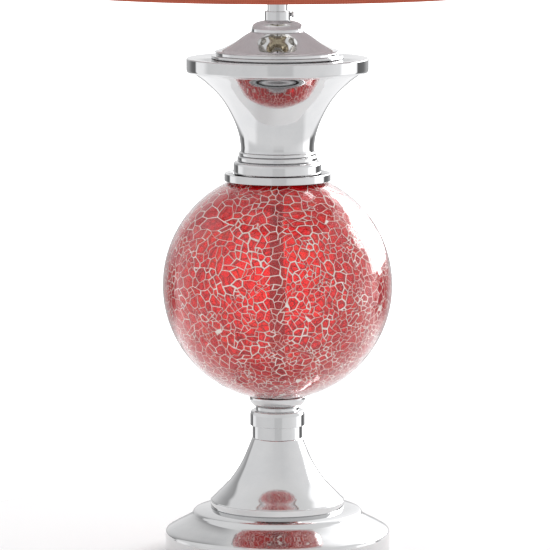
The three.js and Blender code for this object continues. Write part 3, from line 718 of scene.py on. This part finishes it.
class Nodes:
    """Builds a Geometry Nodes tree: named inputs, nodes and links between them."""

    def __init__(self, name):
        self.tree = bpy.data.node_groups.new(name, "GeometryNodeTree")
        for way in ("INPUT", "OUTPUT"):
            self.tree.interface.new_socket("Geometry", in_out=way, socket_type="NodeSocketGeometry")
        self.start = self.tree.nodes.new("NodeGroupInput")
        self.end = self.tree.nodes.new("NodeGroupOutput")
        self.sockets = {}
        self.spot = self.geometry("InputPosition")

    def value(self, name, default):
        """A named input of the tree: a measure, a whole number or a material."""
        kinds = {float: "NodeSocketFloat", int: "NodeSocketInt"}
        kind = kinds.get(type(default), "NodeSocketMaterial")
        socket = self.tree.interface.new_socket(name, in_out="INPUT", socket_type=kind)
        self.sockets[socket.identifier] = default
        return self.start.outputs[name]

    def add(self, kind, inputs=None, **settings):
        return add(self.tree, kind, inputs, **settings)

    def geometry(self, kind, inputs=None, **settings):
        """The first output of one of the geometry nodes."""
        return self.add(f"GeometryNode{kind}", inputs, **settings).outputs[0]

    def math(self, operation, a, b=0.0, c=0.0):
        return figure(self.tree, operation, a, b, c)

    def vector(self, operation, a, b=None):
        inputs = {0: a} if b is None else {0: a, 1: b}
        node = self.add("ShaderNodeVectorMath", inputs, operation=operation)
        return node.outputs["Value" if operation == "DOT_PRODUCT" else "Vector"]

    def scaled(self, vector, factor):
        node = self.add("ShaderNodeVectorMath", {0: vector, "Scale": factor}, operation="SCALE")
        return node.outputs["Vector"]

    def random(self, least, most, seed):
        inputs = {"Min": least, "Max": most, "Seed": seed}
        return self.add("FunctionNodeRandomValue", inputs, data_type="FLOAT").outputs[1]

    def store(self, geometry, name, value, kind="FLOAT"):
        """The mesh with a value of that name kept on each face."""
        inputs = {"Geometry": geometry, "Name": name, "Value": value}
        return self.geometry("StoreNamedAttribute", inputs, data_type=kind, domain="FACE")

    def read(self, name, kind="FLOAT"):
        return self.geometry("InputNamedAttribute", {"Name": name}, data_type=kind)

    def without(self, geometry, faces):
        inputs = {"Geometry": geometry, "Selection": faces}
        return self.geometry("DeleteGeometry", inputs, domain="FACE")

    def resized(self, geometry, scale, faces=True):
        """The mesh with the chosen faces scaled, each about its own middle."""
        inputs = {"Geometry": geometry, "Selection": faces, "Scale": scale}
        return self.geometry("ScaleElements", inputs, domain="FACE")

    def extruded(self, mesh, way, distance, **more):
        inputs = {"Mesh": mesh, "Offset": way, "Offset Scale": distance, **more}
        return self.add("GeometryNodeExtrudeMesh", inputs, mode="FACES").outputs

    def merged(self, geometry):
        return self.geometry("MergeByDistance", {"Geometry": geometry, "Distance": 1e-6})

    def mesh(self, name, geometry, height, material):
        """The geometry at its height and in its material, as a plain mesh object with no
        modifier left on it."""
        up = self.add("ShaderNodeCombineXYZ", {"Z": height}).outputs[0]
        placed = self.geometry("Transform", {"Geometry": geometry, "Translation": up})
        real = self.geometry("RealizeInstances", {0: placed})
        done = self.geometry("SetMaterial", {"Geometry": real, "Material": material})
        self.tree.links.new(done, self.end.inputs["Geometry"])
        carrier = linked(bpy.data.objects.new(f"{name}_carrier", bpy.data.meshes.new(f"{name}_carrier")))
        modifier = carrier.modifiers.new("make", "NODES")
        modifier.node_group = self.tree
        for identifier, value in self.sockets.items():
            modifier[identifier] = value
        graph = bpy.context.evaluated_depsgraph_get()
        made = bpy.data.meshes.new_from_object(carrier.evaluated_get(graph))
        made.name = name
        bpy.data.objects.remove(carrier)
        return linked(bpy.data.objects.new(name, made))


def cracked_cells(nodes):
    """The crackle as a mesh round the globe: one face for each chip of glass, with its own
    tint, its gap to the next, and whether it fell out and was filled with grout."""
    inner = nodes.value("inner radius", SKIN_INNER)
    nearest = nodes.value("nearest chips", 1.25 * MM)
    density = nodes.value("chips per square metre", 66000.0)
    gap = nodes.value("gap", 0.3 * MM)
    seed = nodes.value("seed", 11)
    centre = nodes.value("globe height", GLOBE_CENTRE)
    lowest = nodes.value("lowest chip", -0.97)
    highest = nodes.value("highest chip", 0.92)

    # smaller chips towards the bottom and the right, in patches
    ball = nodes.geometry("MeshIcoSphere", {"Radius": inner, "Subdivisions": 5})
    spot = nodes.spot
    way = nodes.vector("NORMALIZE", spot)
    parts = nodes.add("ShaderNodeSeparateXYZ", {0: way}).outputs
    denser = nodes.math("MULTIPLY_ADD", parts["X"], 0.14, 0.54)
    lower = nodes.math("MULTIPLY", parts["Z"], -0.26)
    patches = nodes.add("ShaderNodeTexNoise", {"Vector": spot, "Scale": 22.0, "Detail": 1.0})
    patchy = nodes.math("MULTIPLY_ADD", patches.outputs[0], 0.5, -0.25)
    factor = nodes.math("ADD", nodes.math("ADD", denser, lower), patchy)
    clamped = nodes.add("ShaderNodeClamp", {"Value": factor, "Min": 0.12, "Max": 1.0}).outputs[0]
    spacing = {"Distance Min": nearest, "Density Max": density, "Density Factor": clamped}
    scatter = {"Mesh": ball, "Seed": seed, **spacing}
    points = nodes.geometry("DistributePointsOnFaces", scatter, distribute_method="POISSON")
    onto = nodes.geometry("SetPosition", {"Geometry": points, "Position": nodes.scaled(way, inner)})
    hull = nodes.geometry("ConvexHull", {"Geometry": onto})
    cells = nodes.geometry("DualMesh", {"Mesh": hull})

    # shear the network so that some chips are long and thin
    half = (0.5, 0.5, 0.5)
    pull = nodes.add("ShaderNodeTexNoise", {"Vector": spot, "Scale": 34.0, "Detail": 2.0}).outputs[1]
    jag = nodes.add("ShaderNodeTexWhiteNoise", {"Vector": spot}, noise_dimensions="3D").outputs["Color"]
    jagged = nodes.vector("ADD", spot, nodes.scaled(nodes.vector("SUBTRACT", jag, half), 0.0032))
    pulled = nodes.vector("ADD", jagged, nodes.scaled(nodes.vector("SUBTRACT", pull, half), 0.016))
    back_on = nodes.scaled(nodes.vector("NORMALIZE", pulled), inner)
    sheared = nodes.geometry("SetPosition", {"Geometry": cells, "Position": back_on})

    # no chips under the cup and the cap ring
    height = nodes.math("DIVIDE", nodes.add("ShaderNodeSeparateXYZ", {0: spot}).outputs["Z"], inner)
    under = nodes.math("LESS_THAN", height, lowest)
    over = nodes.math("GREATER_THAN", height, highest)
    trimmed = nodes.without(sheared, nodes.math("MAXIMUM", under, over))

    # wide seams run along a coarser crackle, and hair cracks lie between them
    crackle = {"Vector": spot, "Scale": 38.0}
    coarse = nodes.add("ShaderNodeTexVoronoi", crackle, feature="DISTANCE_TO_EDGE").outputs[0]
    seam = spread(nodes.tree, coarse, 3.4, 0.78, 0.0, 0.09)
    wander = nodes.math("MULTIPLY", seam, nodes.random(0.6, 1.45, 5))
    across = nodes.math("SQRT", nodes.geometry("InputMeshFaceArea"))
    share = nodes.math("DIVIDE", nodes.math("MULTIPLY", gap, wander), across)
    kept = nodes.math("SUBTRACT", 1.0, share)
    shrink = nodes.add("ShaderNodeClamp", {"Value": kept, "Min": 0.45, "Max": 0.97}).outputs[0]
    small = nodes.math("LESS_THAN", across, 5.0 * MM)
    lost = nodes.math("MULTIPLY", nodes.math("LESS_THAN", nodes.random(0.0, 1.0, 9), 0.022), small)
    tint = nodes.random(0.24, 0.92, 3)
    for name, value in (("shrink", shrink), ("lost", lost), ("tint", tint)):
        trimmed = nodes.store(trimmed, name, value)
    return trimmed, centre


def closed_over(nodes, top, bottom):
    """The tops and sides joined to their undersides."""
    both = nodes.add("GeometryNodeJoinGeometry")
    nodes.tree.links.new(nodes.geometry("FlipFaces", {"Mesh": bottom}), both.inputs[0])
    nodes.tree.links.new(top, both.inputs[0])
    return nodes.merged(both.outputs[0])


def make_chips():
    """The red glass chips: closed plates with a slanted rim, each leaning a little."""
    nodes = Nodes("mosaic_chips")
    cells, centre = cracked_cells(nodes)
    depth = nodes.value("chip depth", CHIP_DEPTH)
    lean = nodes.value("lean", 0.03)
    material = nodes.value("material", red_glass)

    kept = nodes.without(cells, nodes.math("GREATER_THAN", nodes.read("lost"), 0.5))
    apart = nodes.geometry("SplitEdges", {"Mesh": kept})
    shrunk = nodes.resized(apart, nodes.read("shrink"))
    face_way = nodes.geometry("InputNormal")
    either_way = {0: (-1.0, -1.0, -1.0), 1: (1.0, 1.0, 1.0), "Seed": 21}
    tilt = nodes.add("FunctionNodeRandomValue", either_way, data_type="FLOAT_VECTOR").outputs[0]
    marked = nodes.store(shrunk, "middle", nodes.spot, "FLOAT_VECTOR")
    tilted = nodes.store(marked, "tilt", tilt, "FLOAT_VECTOR")
    wall = nodes.extruded(tilted, face_way, nodes.math("MULTIPLY", depth, 0.86))
    rest = nodes.math("MULTIPLY", depth, 0.14)
    rim = nodes.extruded(wall["Mesh"], face_way, rest, Selection=wall["Top"])
    narrowed = nodes.resized(rim["Mesh"], 0.95, rim["Top"])
    arm = nodes.vector("SUBTRACT", nodes.spot, nodes.read("middle", "FLOAT_VECTOR"))
    slope = nodes.vector("DOT_PRODUCT", arm, nodes.read("tilt", "FLOAT_VECTOR"))
    rise = nodes.scaled(nodes.vector("NORMALIZE", nodes.spot), nodes.math("MULTIPLY", slope, lean))
    leaning = nodes.geometry("SetPosition", {"Geometry": narrowed, "Selection": rim["Top"], "Offset": rise})
    flat = nodes.geometry("SetShadeSmooth", {0: leaning, "Shade Smooth": False})
    chips = nodes.mesh("mosaic_chips", closed_over(nodes, flat, shrunk), centre, material)
    finish_piece(chips, "lamp", "mosaic")


def make_grout_net():
    """The grout between the chips, as one closed net, filling the chips that fell out."""
    nodes = Nodes("mosaic_grout")
    cells, centre = cracked_cells(nodes)
    depth = nodes.value("grout depth", CHIP_DEPTH - 0.04 * MM)
    material = nodes.value("material", cream_grout)
    frames = nodes.extruded(cells, nodes.geometry("InputNormal"), 0.0)
    hole = nodes.math("MULTIPLY", nodes.read("shrink"), 0.985)
    narrowed = nodes.resized(frames["Mesh"], hole, frames["Top"])
    kept = nodes.math("LESS_THAN", nodes.read("lost"), 0.5)
    open_cells = nodes.add("FunctionNodeBooleanMath", {0: frames["Top"], 1: kept}, operation="AND")
    net = nodes.merged(nodes.without(narrowed, open_cells.outputs[0]))
    thick = nodes.extruded(net, nodes.vector("NORMALIZE", nodes.spot), depth, Individual=False)
    grout = nodes.mesh("mosaic_grout", closed_over(nodes, thick["Mesh"], net), centre, material)
    finish_piece(grout, "lamp", "mosaic", "mosaic_skin")


def make_coat():
    """The clear gloss coat over chips and grout, as a thin closed shell."""
    start = -math.acos(COAT_LOWER / SKIN_OUTER)
    end = math.acos(COAT_UPPER / SKIN_OUTER)
    outside = arc_line(SKIN_OUTER, GLOBE_CENTRE, start, end, 96)
    inside = arc_line(SKIN_OUTER - COAT_DEPTH, GLOBE_CENTRE, end, start, 96)
    coat = turned("mosaic_coat", [*outside, *inside], gloss_coat, closed=True)
    finish_piece(coat, "lamp", "mosaic")


def make_glass_globe():
    """The blown glass ball, open at the bottom for the tube and at the top under the cap."""
    outer = radius("glass_globe")
    profile = []
    for r, way in ((outer, 1), (outer - 2.6 * MM, -1)):
        ends = (-math.acos(LOWER_HOLE / r), math.acos(UPPER_HOLE / r))
        profile += arc_line(r, GLOBE_CENTRE, *ends[::way], 90)
    globe = turned("blown_globe", profile, clear_glass, steps=128, closed=True)
    finish_piece(globe, "lamp", "clear_glass", "glass_globe")


def make_spacer_tube():
    """The plated tube that holds the cap off the cup inside the globe."""
    node = "spacer_tube"
    corners = [(radius(node), low(node)), (radius(node), high(node))]
    tube = ring_of("spacer_tube_turned", corners, BORE, satin_nickel, steps=SMALL_ROUND)
    finish_piece(tube, "lamp", "nickel", node)


make_chips()
make_grout_net()
make_coat()
make_glass_globe()
make_spacer_tube()

# ---------------------------------------------------------------- shade

SHADE_LOW = low("shade_fabric")
SHADE_HIGH = high("shade_fabric")
SHADE_WIDE = radius("shade_fabric")
SHADE_LEAN = -13 * MM / (SHADE_HIGH - SHADE_LOW)  # change of radius for each metre up
RING_WIRE = 1.6 * MM


def shade_radius(z):
    return SHADE_WIDE + (z - SHADE_LOW) * SHADE_LEAN


def add_cloth_map(piece):
    """A UV map in metres: along the round, and up."""
    layer = piece.data.uv_layers.new(name="cloth")
    for polygon in piece.data.polygons:
        corners = [piece.data.vertices[v].co for v in polygon.vertices]
        turns = [math.atan2(spot.y, spot.x) for spot in corners]
        wrap = max(turns) - min(turns) > math.pi
        for loop, turn, spot in zip(polygon.loop_indices, turns, corners):
            around = turn + 2 * math.pi if wrap and turn < 0 else turn
            layer.data[loop].uv = (around * SHADE_WIDE, spot.z + (spot.xy.length - SHADE_WIDE) * 0.5)


def shade_band(name, outside, inside, material, steps, shape):
    band = turned(name, [*outside, *inside], material, steps=steps, closed=True, shape=shape)
    add_cloth_map(band)
    return band


def cloth_band(name, offset_in, offset_out, bottom, top, rows, material, wave=0.0):
    """A band of cloth or sheet round the shade, between two offsets from its face."""
    line = [bottom + (top - bottom) * k / rows for k in range(rows + 1)]
    outside = [(shade_radius(z) + offset_out, z) for z in line]
    inside = [(shade_radius(z) + offset_in, z) for z in reversed(line)]

    def ripple(r, a, z):
        return r + wave * noise.noise(Vector((math.cos(a) * 9, math.sin(a) * 9, z * 26))), z

    return shade_band(name, outside, inside, material, 256, ripple)


def hem_band(name, bottom, top):
    """A folded cloth band round the edge, rounded over at its free edges."""
    gap = 0.3 * MM
    proud = 0.9 * MM
    rows = 8
    outside = []
    for k in range(rows + 1):
        z = bottom + (top - bottom) * k / rows
        swell = 1 - abs(2 * k / rows - 1) ** 6
        outside.append((shade_radius(z) + gap + (proud - gap) * (0.35 + 0.65 * swell), z))
    inside = [(shade_radius(z) + gap, z) for z in (top, (top + bottom) / 2, bottom)]

    def pucker(r, a, z):
        return r + 0.07 * MM * math.sin(a * 420) * math.sin((z - bottom) / (top - bottom) * 9), z

    return shade_band(name, outside, inside, hem_cloth_painted_shade, 512, pucker)


def make_seam():
    """The lapped seam down the back of the cloth."""
    half = 5 * MM
    across = 6
    rows = 40
    section = [(k / across * 2 - 1, 0.25, 0.45) for k in range(across + 1)]
    section += [(1, 0.2, 0), (-1, 0.2, 0)]
    points = []
    for row in range(rows + 1):
        z = SHADE_LOW + 11 * MM + (SHADE_HIGH - SHADE_LOW - 22 * MM) * row / rows
        for t, base, swell in section:
            r = shade_radius(z) + base * MM + swell * MM * (1 - t**4)
            a = math.pi / 2 + t * half / r
            points.append((r * math.cos(a), r * math.sin(a), z))
    width = len(section)
    faces = []
    for i in range(rows):
        for k in range(width):
            m = (k + 1) % width
            faces.append((i * width + k, (i + 1) * width + k, (i + 1) * width + m, i * width + m))
    faces.append(tuple(range(width)))
    faces.append(tuple(reversed([rows * width + k for k in range(width)])))
    seam = piece_from("back_seam", points, faces, hem_cloth_painted_shade)
    add_cloth_map(seam)
    return finish_piece(seam, "shade", "fabric")


def make_stitches(name, z, out, length, pitch):
    """A row of stitches round the shade: small closed beads of thread on a circle."""
    nodes = Nodes(name)
    round_radius = nodes.value("radius", shade_radius(z) + out)
    height = nodes.value("height", z)
    count = nodes.value("count", int(2 * math.pi * shade_radius(z) / pitch))
    long = nodes.value("stitch length", length)
    thick = nodes.value("thread radius", 0.16 * MM)
    material = nodes.value("material", thread)
    circle = nodes.geometry("MeshCircle", {"Vertices": count, "Radius": round_radius})
    bead = nodes.geometry("MeshUVSphere", {"Segments": 6, "Rings": 4, "Radius": thick})
    longer = nodes.math("DIVIDE", long, nodes.math("MULTIPLY", thick, 2.0))
    stretch = nodes.add("ShaderNodeCombineXYZ", {"X": 1.0, "Y": longer, "Z": 1.0}).outputs[0]
    outward = {"inputs": {"Vector": nodes.spot}, "axis": "X", "pivot_axis": "Z"}
    turn = nodes.add("FunctionNodeAlignRotationToVector", **outward).outputs[0]
    row = {"Points": circle, "Instance": bead, "Rotation": turn, "Scale": stretch}
    stitches = nodes.mesh(name, nodes.geometry("InstanceOnPoints", row), height, material)
    return finish_piece(stitches, "shade", "fabric")


def make_shade():
    """The cloth, its backing sheet, two hem bands with their stitches, and the back seam."""
    fabric = 0.9 * MM
    cloth = cloth_band("shade_cloth", -fabric, 0, SHADE_LOW, SHADE_HIGH, 60, shade_cloth, 0.35 * MM)
    finish_piece(cloth, "shade", "fabric", "shade_fabric")
    liner = (-fabric - 1.1 * MM, -fabric - 0.3 * MM, low("shade_liner"), high("shade_liner"))
    backing = cloth_band("shade_backing", *liner, 40, backing_painted_pink_glow)
    finish_piece(backing, "shade", "styrene", "shade_liner")

    with_cloth = []
    rows = {"bottom": high("trim_bottom") - 1.6 * MM, "top": low("trim_top") + 1.6 * MM}
    for edge, row in rows.items():
        node = f"trim_{edge}"
        hem = finish_piece(hem_band(f"{edge}_hem", low(node), high(node)), "shade", "fabric", node)
        with_cloth += [hem, make_stitches(f"{edge}_hem_stitches", row, 0.88 * MM, 2.2 * MM, 3.0 * MM)]
    with_cloth.append(make_seam())


def make_shade_wires():
    """The two wire rings, the spider's hub and its three arms."""
    for edge in ("bottom", "top"):
        lo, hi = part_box(f"shade_{edge}_ring")
        middle = hi.x - (hi.z - lo.z) / 2
        z = (lo.z + hi.z) / 2
        turns = [2 * math.pi * k / 200 for k in range(200)]
        path = [(middle * math.cos(a), middle * math.sin(a), z) for a in turns]
        ring = swept(f"{edge}_wire_ring", path, RING_WIRE, satin_nickel, 12, closed=True)
        finish_piece(ring, "shade", "nickel", f"shade_{edge}_ring")

    end = hi.x - 2 * RING_WIRE - 2.6 * MM
    lo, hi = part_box("spider_hub")
    corners = rimmed(hi.x, lo.z, hi.z, 0.5 * MM, 0.5 * MM)
    hub = ring_of("spider_hub_turned", corners, 3.7 * MM, satin_nickel, steps=SMALL_ROUND)
    finish_piece(hub, "shade", "nickel", "spider_hub")
    z = (lo.z + hi.z) / 2
    line = [(hi.x + 0.3 * MM, z), (100 * MM, z), *mm(end, z, (-22, 1), (0, 9))]
    for k in range(3):
        a = math.pi / 2 + k * 2 * math.pi / 3
        path = [(r * math.cos(a), r * math.sin(a), h) for r, h in through(line, 10)]
        arm = swept(f"spider_arm_{k + 1}_wire", path, 2 * MM, satin_nickel)
        finish_piece(arm, "shade", "nickel", f"spider_arm_{k + 1}")


make_shade()
make_shade_wires()

# ---------------------------------------------------------------- harp and finial


def make_harp():
    """The wire harp, its threaded stud and the two ferrules round its feet."""
    lo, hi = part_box("harp")
    wire = 2 * MM
    top = hi.z - wire
    half = mm(0, lo.z, (31, 0), (31, 12), (31, 24), (33, 38), (44, 68), (54, 104), (56, 141), (46, 178))
    half += [(25 * MM, top - 7.5 * MM), (0, top)]
    line = [(-x, 0, z) for x, z in half] + [(x, 0, z) for x, z in reversed(half[:-1])]
    finish_piece(swept("harp_wire", through(line, 8), wire, satin_nickel), "harp", "nickel", "harp")

    lo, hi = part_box("harp_stud")
    seat = lo.z + 2.2 * MM
    stem = 3.1 * MM
    profile = [(0, lo.z), *mm(hi.x, lo.z, (-1, 0), (0, 0.6)), *mm(hi.x, seat, (0, -0.4), (-0.5, 0))]
    profile.append((stem, seat))
    turns = 14
    run = hi.z - seat - 2 * MM
    for k in range(turns):
        z = seat + 1 * MM + run * k / turns
        profile += [(stem - 0.25 * MM, z), (stem, z + run / turns * 0.5)]
    profile += [*mm(stem, hi.z, (-0.25, -1), (-0.8, 0)), (0, hi.z)]
    stud = turned("harp_stud_turned", profile, satin_nickel, steps=48)
    finish_piece(stud, "harp", "nickel", "harp_stud")

    for node in ("ferrule_left", "ferrule_right"):
        lo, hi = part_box(node)
        r = (hi.x - lo.x) / 2
        corners = [*mm(r, lo.z, (-0.4, 0), (0, 0, 0.3)), *mm(r, hi.z, (0, -3, 0.5), (-0.5, 0))]
        ferrule = ring_of(f"{node}_turned", corners, 3.05 * MM, satin_nickel, steps=48)
        ferrule.data.transform(Matrix.Translation(((lo.x + hi.x) / 2, 0, 0)))
        finish_piece(ferrule, node, "nickel", node)


def make_finial():
    """The turned finial and the washer under it."""
    lo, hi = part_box("finial")
    z = lo.z
    bore = mm(0, z, (0, 10.5), (3.5, 10.5))
    foot = mm(0, z, (3.5, 0), (7.6, 0, 0.5), (7.6, 2.4, 0.6), (5.2, 4.4, 0.6), (5.2, 6.6))
    knob = [*mm(0, z, (5.2, 7), (8.2, 12)), (hi.x, z + 16.4 * MM), *mm(0, z, (7.4, 21), (3.8, 24))]
    profile = [*bore, *softened(foot), *through([*knob, (0, hi.z)], 8)]
    finial = turned("finial_turned", profile, satin_nickel, steps=72)
    finish_piece(finial, "finial", "nickel", "finial")
    lo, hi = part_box("finial_washer")
    corners = rimmed(hi.x, lo.z, hi.z, 0.25 * MM, 0.25 * MM)
    washer = ring_of("finial_washer_turned", corners, 3.7 * MM, satin_nickel, steps=48)
    finish_piece(washer, "finial_washer", "nickel", "finial_washer")


make_harp()
make_finial()

# ---------------------------------------------------------------- lamp holder and bulb


def make_holder():
    """The brass cap and shell of the lamp holder."""
    lo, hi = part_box("socket_cap")
    r = hi.x
    curve = mm(0, lo.z, (9, 0), (13.5, 1.2), (17.6, 4.6), (19.4, 9))
    outside = through([*curve, (r - 0.4 * MM, lo.z + 12.6 * MM)], 8)
    rim = [(r - 0.4 * MM, lo.z + 13 * MM), *mm(r, hi.z, (0, -1.6, 0.4), (0, 0, 0.4), (-0.8, 0))]
    inside = [(r - 1.2 * MM, hi.z - 3 * MM), *mm(0, lo.z, (18.6, 9), (16.6, 5.4), (12.9, 2.2))]
    inside += [(BORE, lo.z + 1 * MM), (BORE, lo.z)]
    profile = [*outside, *softened(rim), *inside]
    cap = turned("holder_cap", profile, holder_brass, steps=96, closed=True)
    finish_piece(cap, "lamp", "brass", "socket_cap")

    lo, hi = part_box("socket_shell")
    r = hi.x
    line = []
    rows = 60
    for k in range(rows + 1):
        t = k / rows
        bead = 0.25 * MM * math.sin(t * math.pi * 16) if 0.28 < t < 0.62 else 0
        line.append((r - 0.25 * MM + bead, lo.z + (hi.z - lo.z) * t))
    inner = [(r - 0.65 * MM, z) for z in (hi.z, (lo.z + hi.z) / 2, lo.z)]
    shell = turned("holder_shell", [*line, *inner], holder_brass, steps=96, closed=True)
    finish_piece(shell, "lamp", "brass", "socket_shell")


def make_switch_knob():
    """The ribbed turn knob on its stalk."""
    lo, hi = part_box("switch_knob")
    knob_radius = (hi.x - lo.x) / 2
    out = -lo.y
    face = out - 10 * MM

    def ribs(r, a, y):
        grip = 0.45 * MM * (0.5 + 0.5 * math.cos(a * 18)) if r > knob_radius * 0.85 else 0
        return r - grip, y

    stalk = [(0, -hi.y), (2.4 * MM, -hi.y), (2.4 * MM, face)]
    head = [(knob_radius * 0.8, face), (knob_radius, face + 0.6 * MM, 0.4 * MM)]
    head += [(knob_radius, out - 1 * MM, 0.6 * MM), (knob_radius * 0.7, out)]
    profile = [*stalk, head[0], *softened(head)[1:], (0, out)]
    knob = turned("switch_knob_moulded", profile, phenolic, steps=108, shape=ribs)
    height = Matrix.Translation((0, 0, (lo.z + hi.z) / 2))
    knob.data.transform(height @ Matrix.Rotation(math.pi / 2, 4, "X"))
    finish_piece(knob, "switch", "phenolic", "switch_knob")


def make_bulb():
    """The frosted bulb and its screw cap with a rolled thread."""
    lo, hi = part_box("bulb_glass")
    neck = 12.2 * MM
    crown = arc_line(hi.x, hi.z - hi.x, -0.25, math.pi / 2, 22)
    crown[-1] = (0, hi.z)
    side = mm(0, lo.z, (12.2, 0.3), (13.4, 6), (17.4, 18), (23.6, 32), (28.2, 43))
    profile = [(0, lo.z), (neck - 1 * MM, lo.z), *through([*side, crown[0]], 7)[:-1], *crown]
    glass = turned("bulb_envelope", profile, frosted_glass, steps=96)
    finish_piece(glass, "bulb", "frosted_glass", "bulb_glass")

    lo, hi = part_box("bulb_cap")
    wide = hi.x
    pitch = 3.6 * MM

    def thread_line(r, a, z):
        if not (lo.z + 1.5 * MM < z < hi.z - 3 * MM and r > wide * 0.8):
            return r, z
        return r - 0.7 * MM * (0.5 - 0.5 * math.cos(2 * math.pi * (z / pitch - a / (2 * math.pi)))), z

    rows = 56
    line = [(wide, lo.z + (hi.z - lo.z) * k / rows) for k in range(1, rows + 1)]
    profile = [(0, lo.z), *mm(wide, lo.z, (-2, 0), (-0.4, 0.3)), *line, (wide - 1 * MM, hi.z), (0, hi.z)]
    cap = turned("bulb_cap_rolled", profile, zinc_plate, steps=72, shape=thread_line)
    finish_piece(cap, "bulb", "zinc", "bulb_cap")


make_holder()
make_switch_knob()
make_bulb()

# ---------------------------------------------------------------- underside and inner pieces


def make_felt():
    """The felt under the foot, with a softly frayed edge."""
    lo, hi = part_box("felt_pad")
    wide = hi.x - 0.4 * MM
    rng = random.Random(4)
    fray = [rng.uniform(-0.3, 0.3) * MM for _ in range(240)]

    def worn(r, a, z):
        step = int(round(a / (2 * math.pi) * 240)) % 240
        return (r + fray[step] if r > wide * 0.97 else r), z

    corners = [(0, lo.z), (wide * 0.5, lo.z), (wide, lo.z, 0.5 * MM), (wide, hi.z, 0.5 * MM)]
    corners += [(wide * 0.5, hi.z), (0, hi.z)]
    pad = turned("felt_pad_cut", softened(corners), wool_felt, steps=240, shape=worn)
    finish_piece(pad, "lamp", "felt", "felt_pad")


def finish_inner_nodes():
    """Better finishes for the plain solids that stay: the hidden works and small fittings."""
    finishes = {
        pressed_board: ["base_cover", "socket_liner"],
        cast_iron: ["base_weight"],
        zinc_plate: ["foot_nut", "foot_washer", "threaded_rod"],
        black_rubber: ["cord_bush", "globe_gasket_lower", "globe_gasket_upper"],
        satin_nickel: ["harp_saddle"],
        holder_brass: ["rod_nut", "screw_shell", "centre_contact", "bulb_contact"],
        phenolic: ["socket_body"],
    }
    for material, names in finishes.items():
        for name in names:
            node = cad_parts[name]
            node.data.materials.clear()
            node.data.materials.append(material)


make_felt()
finish_inner_nodes()
